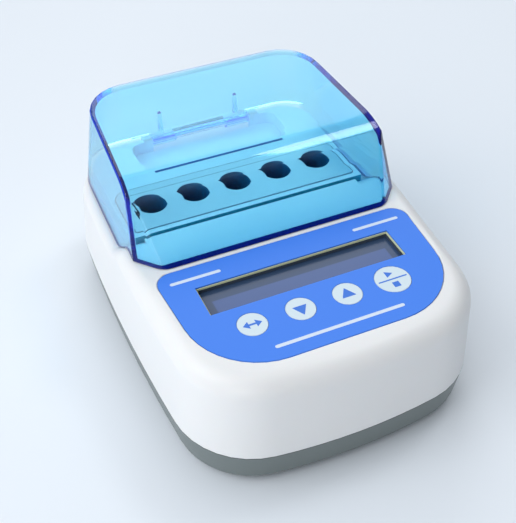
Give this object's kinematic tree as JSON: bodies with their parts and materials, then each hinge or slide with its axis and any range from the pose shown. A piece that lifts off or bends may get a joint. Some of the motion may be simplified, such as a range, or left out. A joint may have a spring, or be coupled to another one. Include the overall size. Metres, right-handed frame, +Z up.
{
  "type": "biological indicator incubator",
  "caption": "Small bench incubator: grey base, white housing with a keypad panel, metal block with wells, and a clear blue lid hinged at the back.",
  "frame": {"origin": "on the bench, under the middle of the case", "axes": "+Z up, the keypad faces -Y, +X to the right of the keypad"},
  "size_m": [0.11, 0.149, 0.0714],
  "materials": {
    "white_shell": "glossy",
    "grey_shell": "satin",
    "blue_film": "satin",
    "key_white": "satin",
    "clear_blue": "clear",
    "bare_metal": "satin",
    "steel": "plain",
    "black_plastic": "satin",
    "display": "dark",
    "board": "plain",
    "heater": "matte",
    "foam": "matte",
    "foot_rubber": "matte"
  },
  "bodies": {
    "case": {"top_housing": "white_shell", "base_tray": "grey_shell", "panel_overlay": "blue_film", "heating_block": "bare_metal", "hinge_pin": "steel", "block_clamp": "steel", "temperature_sensor": "steel", "thermal_cutout": "black_plastic", "buzzer": "black_plastic", "display_bezel": "black_plastic", "display_glass": "display", "control_board": "board", "heater_mat": "heater", "insulation_jacket": "foam", "power_switch_housing": "black_plastic", "power_inlet": "black_plastic", "case_screw_front_left": "steel", "case_screw_front_right": "steel", "case_screw_rear_left": "steel", "case_screw_rear_right": "steel", "clamp_screw_front_left": "steel", "clamp_screw_front_right": "steel", "clamp_screw_rear_left": "steel", "clamp_screw_rear_right": "steel", "board_screw_front_left": "steel", "board_screw_front_right": "steel", "board_screw_rear_left": "steel", "board_screw_rear_right": "steel", "foot_front_left": "foot_rubber", "foot_front_right": "foot_rubber", "foot_rear_left": "foot_rubber", "foot_rear_right": "foot_rubber", "tact_switch_cursor": "black_plastic", "tact_switch_down": "black_plastic", "tact_switch_up": "black_plastic", "tact_switch_start_stop": "black_plastic"},
    "lid": {"lid": "clear_blue"},
    "key_cursor": {"key_cursor": "key_white"},
    "key_down": {"key_down": "key_white"},
    "key_up": {"key_up": "key_white"},
    "key_start_stop": {"key_start_stop": "key_white"},
    "power_rocker": {"power_rocker": "black_plastic"}
  },
  "joints": [
    {"name": "lid_hinge", "type": "hinge", "parent": "case", "child": "lid", "pos_m": [0, 0.0613, 0.0448], "axis": [-1, 0, 0], "range_deg": [0, 95]},
    {"name": "key_cursor_press", "type": "slide", "parent": "case", "child": "key_cursor", "axis": [0, 0, -1], "range_m": [0, 0.0005], "stiffness_N_per_m": 3000},
    {"name": "key_down_press", "type": "slide", "parent": "case", "child": "key_down", "axis": [0, 0, -1], "range_m": [0, 0.0005], "stiffness_N_per_m": 3000},
    {"name": "key_up_press", "type": "slide", "parent": "case", "child": "key_up", "axis": [0, 0, -1], "range_m": [0, 0.0005], "stiffness_N_per_m": 3000},
    {"name": "key_start_stop_press", "type": "slide", "parent": "case", "child": "key_start_stop", "axis": [0, 0, -1], "range_m": [0, 0.0005], "stiffness_N_per_m": 3000},
    {"name": "power_rocker_tilt", "type": "hinge", "parent": "case", "child": "power_rocker", "pos_m": [-0.012, 0.0694, 0.025], "axis": [0, 0, -1], "range_deg": [0, 16]}
  ]
}
